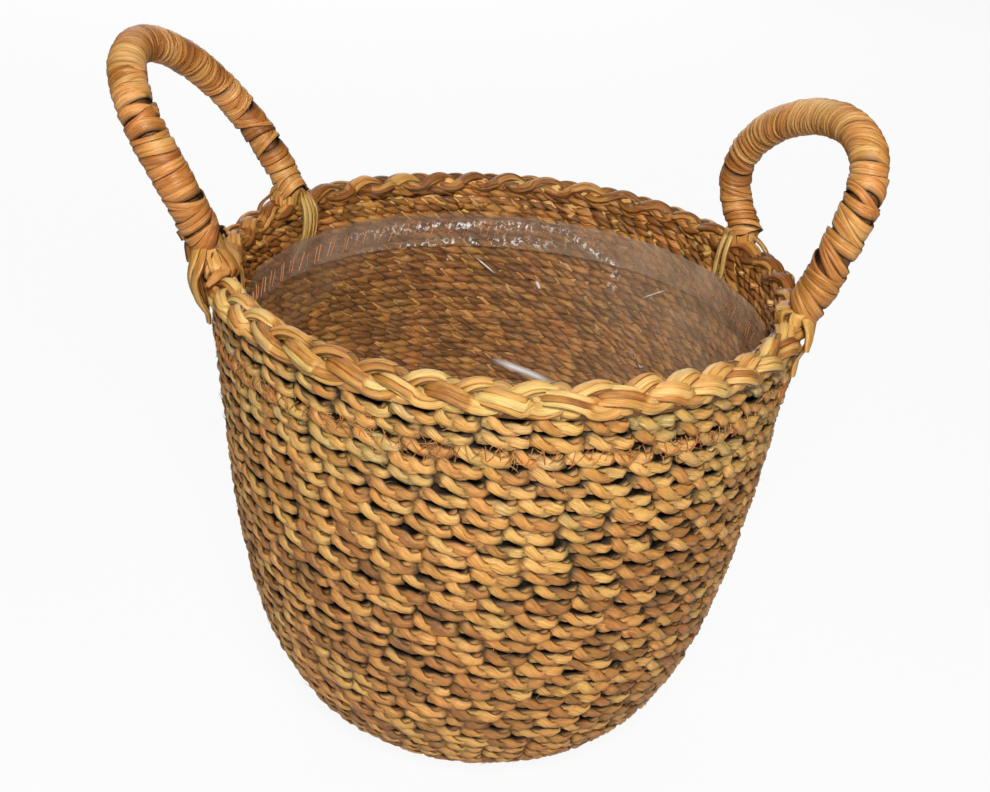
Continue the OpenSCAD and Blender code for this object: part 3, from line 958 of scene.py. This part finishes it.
# Under the binding: up the leg and below its surface, in mm
TIE_STARTS = ((7, 4.2), (-2, 3.0))
TIE_HALF_T = 1.1 * MM
TIE_FOLD = 0.45
TIE_TAPER = 0.85


def spline(knots, t):
    """A smooth path through the knots: each span is a cubic with end slopes from the knots around it."""
    n = len(knots) - 1
    padded = np.concatenate([[2 * knots[0] - knots[1]], knots, [2 * knots[-1] - knots[-2]]])
    x = np.clip(np.asarray(t) * n, 0, n - 1e-9)
    i = x.astype(int)
    f = (x - i)[:, None]
    p0, p1, p2, p3 = (padded[i + k] for k in range(4))
    square = (2 * p0 - 5 * p1 + 4 * p2 - p3) * f**2
    cube = (3 * p1 - p0 - 3 * p2 + p3) * f**3
    return 0.5 * (2 * p1 + (p2 - p0) * f + square + cube)


def tie_leaves(side, angle, foot, leg, radius, leaves, seed):
    """Leaves from under a handle's binding down over the rim, round a short plug that closes its end.

    A ring of SKIRT short leaves ends in the rim's plait, and the listed long ones pass over it. Each follows
    a smooth path through its points and narrows past the part TIE_TAPER of it.
    """
    rng = np.random.default_rng(seed)
    radial, tangent = rim_axes(side, angle)
    middle = RIM_R * radial + RIM_Z * UP
    plug_knots = np.array([foot + PLUG_TOP * leg, foot, middle + PLUG_LOW * UP])
    plug = spline(plug_knots, np.linspace(0, 1, PLUG_POINTS))
    plug_r = PLUG_SIZE * radius
    # The plug is darkened with painted shade
    parts = [laid(plug, radial, plug_r, plug_r, sides=12, tone=0.2, tuck=0.35)]
    short = []
    for bearing in 360 * (np.arange(SKIRT) + rng.uniform(-0.3, 0.3, SKIRT)) / SKIRT:
        c, s = radius / MM * np.array(cos_sin(bearing))
        points = [(0.95 * c, 0.95 * s, 10), (0.85 * c, s, 3)]
        short.append((bearing, points, SKIRT_HALF_W, rng.uniform(0.2, 0.65)))
    t = np.linspace(0, 1, TIE_POINTS)
    taper = np.where(t > TIE_TAPER, 1 - 3.5 * (t - TIE_TAPER), 1)
    for bearing, points, half_w, tone in short + leaves:
        c, s = cos_sin(bearing)
        way = c * radial + s * tangent
        under = [foot + up * MM * leg + (radius - sunk * MM) * way for up, sunk in TIE_STARTS]
        over = [middle + (out * radial + back * tangent + up * UP) * MM for out, back, up in points]
        path = spline(np.array(under + over), t)
        away = path - (middle - 2 * MM * UP)
        face = unit(away - np.sum(away * tangent, axis=-1, keepdims=True) * tangent * 0.6)
        size = half_w * MM * (0.75 + 0.25 * smooth(t, 0.1, 0.4)) * taper
        look = {"tone": tone + rng.uniform(-0.12, 0.12), "lane": int(rng.integers(0, LANES))}
        parts.append(laid(path, face, size, TIE_HALF_T, fold=TIE_FOLD, **look))
    return parts


for side_name, side, line in (("left", -1, left_line), ("right", 1, right_line)):
    for end_name, angle, foot, leg, radius in (
        ("front", FRONT_ANGLE, line.points[0], line.dirs[0], FRONT_R),
        ("back", BACK_ANGLE, line.points[-1], -line.dirs[-1], BACK_R),
    ):
        place = f"{side_name}_{end_name}"
        parts = tie_leaves(side, angle, foot, leg, radius, TIES[place], [TIE_SEED, side + 1, len(end_name)])
        tie = make_piece(f"tie_leaves_{place}", parts, rim_leaf, None)
        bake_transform(tie)
        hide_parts(f"tie_{place}")

# Trimmed stake ends inside the mouth

STAKE_SEED = 61
# Two rings at the cut, the second one almost closed
END_PLACES = np.array([0, 0.5, 1, 1])
END_SIZES = np.array([1, 1, 1, 0.02])
END_SUNK = 2.5 * MM


def stake_ends():
    """Short round stems that stand out of the wall's inner face under the rim, cut off square."""
    rng = np.random.default_rng(STAKE_SEED)
    r, z, _, _ = wall_at(WALL_LEN, WALL_T - END_SUNK)
    parts = []
    for i in range(STAKES):
        theta = TAU * (i + 0.5) / STAKES + rng.uniform(-0.03, 0.03)
        radial = around(theta, 1, 0)
        tangent = around(theta + TAU / 4, 1, 0)
        start = radial * r + UP * (z + rng.uniform(-1.6, 1) * MM)
        way = unit(-radial + 0.5 * rng.uniform(-1, 1) * tangent + UP * rng.uniform(-0.3, 0.2))
        path = start + END_PLACES[:, None] * rng.uniform(3.2, 5.4) * MM * way
        axes = section_axes(start + np.arange(4)[:, None] * way, UP, False)
        size = rng.uniform(1.2, 1.9) * MM * END_SIZES
        parts.append(sweep(path, *axes, size, size * 0.8, 10, tone=rng.uniform(0.1, 0.7)))
    return parts


ends = make_piece("stake_ends", stake_ends(), rim_leaf)
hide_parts("stake_tails")

# Film liner

FILM_DEPTH = 13.7 * MM
FILM_TOP = WALL_LEN - FILM_DROP
FILM_STEPS = 240
FILM_ROWS = 80
FILM_BASE_ROWS = 8
HEM_ROWS = 14
HEM_GAP = 0.7 * MM
FOLDS = 23
FOLD_H = 0.2 * MM
FOLD_TOP_H = 1.1 * MM
SLACK = 0.6 * MM
CRUMPLE = 0.5 * MM


def film_depth(s, theta):
    """The film's depth in the wall: clear of the strands, with upright folds and a slow crumple.

    The folds are a sine round the mouth whose phase wanders, and they fade downwards. The crumple is the
    product of two slanting sines.
    """
    top = smooth(s, WALL_LEN - 90 * MM, WALL_LEN - 10 * MM)
    folds = 0.5 + 0.5 * np.sin(FOLDS * theta + 2.2 * np.sin(5 * theta) + 40 * s)
    crumple = np.sin(11 * theta + 190 * s) * np.sin(7 * theta - 120 * s + 1)
    return FILM_DEPTH + SLACK + CRUMPLE * crumple + (FOLD_H + FOLD_TOP_H * top) * folds


def film_surface(name, s, gap, material):
    """A sheet inside the wall: at each length s and angle, as deep as the film and a gap."""
    theta = TAU * np.arange(FILM_STEPS) / FILM_STEPS
    s, theta = np.meshgrid(s, theta, indexing="ij")
    r, z, _, _ = wall_at(s, film_depth(s, theta) + gap)
    verts = around(theta, r, z + back_rise(theta, s))
    return make_piece(name, [grid_part(verts, FACING_IN, 0.0, 0.0, 0, 0)], material)


base_s = np.linspace(-BASE_R + 1 * MM, 0, FILM_BASE_ROWS)[:-1]
film_s = np.concatenate([base_s, np.linspace(0, FILM_TOP, FILM_ROWS)])
film = film_surface("liner_bag", film_s, 0, film_clear)
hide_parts("liner_film")
hem_s = np.linspace(WALL_LEN - HEM_DEPTH, FILM_TOP, HEM_ROWS)
hem = film_surface("liner_fold", hem_s, HEM_GAP, film_hem)
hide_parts("liner_hem")

# Sewing

SEWING_SEED = 71
STITCH_PLACES = np.linspace(-1, 1, 5)
STITCH_LENGTHS = (0.7, 1.15)
HEM_STITCHES = 150
HEM_REACH = 4.2 * MM
PAIR_SHIFT = 0.3
SEAM_RISE = 4 * MM
OUTER_STITCHES = 240
OUTER_REACH = 4.7 * MM
# Outside, the thread is missing where these waves fall below the level
SEAM_WAVES = ((1, 3, 0, 1), (1, 7, 0, 2))
SEAM_LEVEL = -1.1


def stitch(rng, theta0, seam, reach, slant, tones, inside):
    """A slanted thread, about reach to each side of the seam.

    Inside it lies on the hem and bows off it a little. Outside it passes over the strands and sinks in
    between them at its ends.
    """
    length = reach * rng.uniform(*STITCH_LENGTHS)
    s = WALL_LEN - seam + STITCH_PLACES * length
    theta = theta0 + STITCH_PLACES * length * slant / MOUTH_R
    bow = 1 - STITCH_PLACES**2
    depth = film_depth(s, theta) + (1.0 + 0.2 * bow) * MM if inside else (0.6 - 1.6 * bow) * MM
    r, z, _, _ = wall_at(s, depth)
    path = around(theta, r, z + back_rise(theta, s))
    half = rng.uniform(0.18, 0.3) * MM
    return laid(path, around(theta, 1, 0), half, half, sides=4, tone=rng.uniform(*tones))


def stitches():
    """Slanted threads: pairs on the hem inside, and a zigzag round the third course outside."""
    rng = np.random.default_rng(SEWING_SEED)
    parts = []
    for i in range(HEM_STITCHES):
        theta = TAU * (i - PAIR_SHIFT * (i % 2) + rng.uniform(-0.2, 0.2)) / HEM_STITCHES
        slant = -rng.uniform(0.3, 0.7)
        seam = SEAM_DEPTH - SEAM_RISE * smooth(math.sin(theta), 0.5, 1)
        # Inside, the thread takes paler tones than outside: painted light on the hem's stitches
        parts.append(stitch(rng, theta, seam, HEM_REACH, slant, (0.3, 1), True))
    for i in range(OUTER_STITCHES):
        theta = TAU * (i + rng.uniform(-0.2, 0.2)) / OUTER_STITCHES
        if waves(theta, 0, SEAM_WAVES) < SEAM_LEVEL:
            continue
        slant = rng.choice([-1, 1]) * rng.uniform(0.05, 0.9)
        parts.append(stitch(rng, theta, SEAM_DEPTH, OUTER_REACH, slant, (0, 0.35), False))
    return parts


sewing = make_piece("liner_sewing", stitches(), thread)
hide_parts("liner_stitches")

# Frayed fibres

FRAY_SEED = 83
FIBRES = 1000
FIBRE_POINTS = 5
SEWN_S = WALL_LEN - 2.5 * COURSE_PITCH


def fray():
    """Loose fibre ends that curl off the outer face, three in four of them near the sewn course."""
    rng = np.random.default_rng(FRAY_SEED)
    t = np.linspace(0, 1, FIBRE_POINTS)
    parts = []
    for i in range(FIBRES):
        s0 = SEWN_S + rng.normal(0, 4) * MM if i % 4 else rng.uniform(0.1, 0.98) * WALL_LEN
        theta0 = rng.uniform(0, TAU)
        length = rng.uniform(3, 9) * MM
        heading = rng.uniform(0, TAU) + rng.uniform(-0.8, 0.8) * t
        s = s0 + length * t * np.cos(heading)
        theta = theta0 + length * t * np.sin(heading) / MOUTH_R
        depth = 0.8 * MM - rng.uniform(0.8, 3.0) * MM * t**0.8
        r, z, _, _ = wall_at(np.minimum(s, WALL_LEN - 1 * MM), depth)
        path = around(theta, r, z)
        half = rng.uniform(0.14, 0.32) * MM * (1.05 - t)
        parts.append(laid(path, around(theta, 1, 0.2), half, half, sides=3, tone=rng.uniform(0.45, 0.95)))
    return parts


fibres = make_piece("frayed_fibres", fray(), wall_leaf)

# The stakes and hub take that dark brown, which partly stands in for shade in the gaps
for name in ("base_hub", "stakes"):
    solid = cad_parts[name]
    solid.data.materials.clear()
    solid.data.materials.append(stem_brown_and_shade)

# Camera at the photograph's view

PITCH = math.radians(24.74)
ROLL = math.radians(5.02)
DISTANCE = 842 * MM
AIM_X = -1.4 * MM
AIM_Z = 179.3 * MM
FOCAL_PX = 1648.2
IMAGE_W = 990
SENSOR_W = 36
camera_data = bpy.data.cameras.new("camera")
camera_data.sensor_fit = "HORIZONTAL"
camera_data.sensor_width = SENSOR_W
camera_data.lens = FOCAL_PX * SENSOR_W / IMAGE_W
camera_data.clip_start = 10 * MM
camera = bpy.data.objects.new("camera", camera_data)
at = Vector((AIM_X, -DISTANCE * math.cos(PITCH), AIM_Z + DISTANCE * math.sin(PITCH)))
turned = Matrix.Rotation(TAU / 4 - PITCH, 4, "X") @ Matrix.Rotation(ROLL, 4, "Z")
camera.matrix_world = Matrix.Translation(at) @ turned
scene.collection.objects.link(camera)
bpy.context.scene.camera = camera

# Floor, lights and background

FLOOR_HALF = 30
FLOOR_GREY = (0.75, 0.75, 0.75, 1)
FLOOR_SEEN = 0.93
WHITE = (1, 1, 1, 1)
WORLD_LIGHT = 0.035


def area_light(name, at, target, size, watts):
    """A square lamp at a point, turned to a target."""
    data = bpy.data.lights.new(name, "AREA")
    data.size = size
    data.energy = watts
    lamp = bpy.data.objects.new(name, data)
    lamp.location = at
    lamp.rotation_euler = (Vector(target) - Vector(at)).to_track_quat("-Z", "Y").to_euler()
    scene.collection.objects.link(lamp)


area_light("key", (0.05, -0.98, 0.92), (0, 0, 0.16), 0.26, 15.2)
area_light("fill", (1.0, -1.1, 0.7), (0, 0, 0.15), 1.2, 0.35)
area_light("top", (0, 0.1, 1.6), (0, 0, 0.2), 0.8, 1.9)
area_light("back", (-0.4, 2.0, 0.9), (0, 0, 0.12), 1.6, 20)

# Matt floor that takes shadows, almost white where the camera sees it, also through the film
floor_look, tree = new_material("floor")
through = node(tree, "LightPath", out="Is Transmission Ray")
seen = node(tree, "LightPath", out="Is Camera Ray").math("MAXIMUM", through)
matt = node(tree, "BsdfDiffuse", Color=FLOOR_GREY)
white = node(tree, "Emission", Color=WHITE)
show(tree, node(tree, "MixShader", i0=FLOOR_SEEN * seen, i1=matt, i2=white))
corners = [(x * FLOOR_HALF, y * FLOOR_HALF, 0) for x, y in ((-1, -1), (1, -1), (1, 1), (-1, 1))]
floor_mesh = bpy.data.meshes.new("floor")
floor_mesh.from_pydata(corners, [], [(0, 1, 2, 3)])
floor_mesh.materials.append(floor_look)
floor = bpy.data.objects.new("floor", floor_mesh)
scene.collection.objects.link(floor)

world = bpy.data.worlds.new("studio")
scene.world = world
world.use_nodes = True
sky_tree = world.node_tree
sky_tree.nodes.clear()
seen = node(sky_tree, "LightPath", out="Is Camera Ray")
sky = node(sky_tree, "Background", Color=WHITE, Strength=seen.range(0, 1, WORLD_LIGHT, 1.0))
show(sky_tree, sky, "World")

scene.view_settings.view_transform = "Standard"
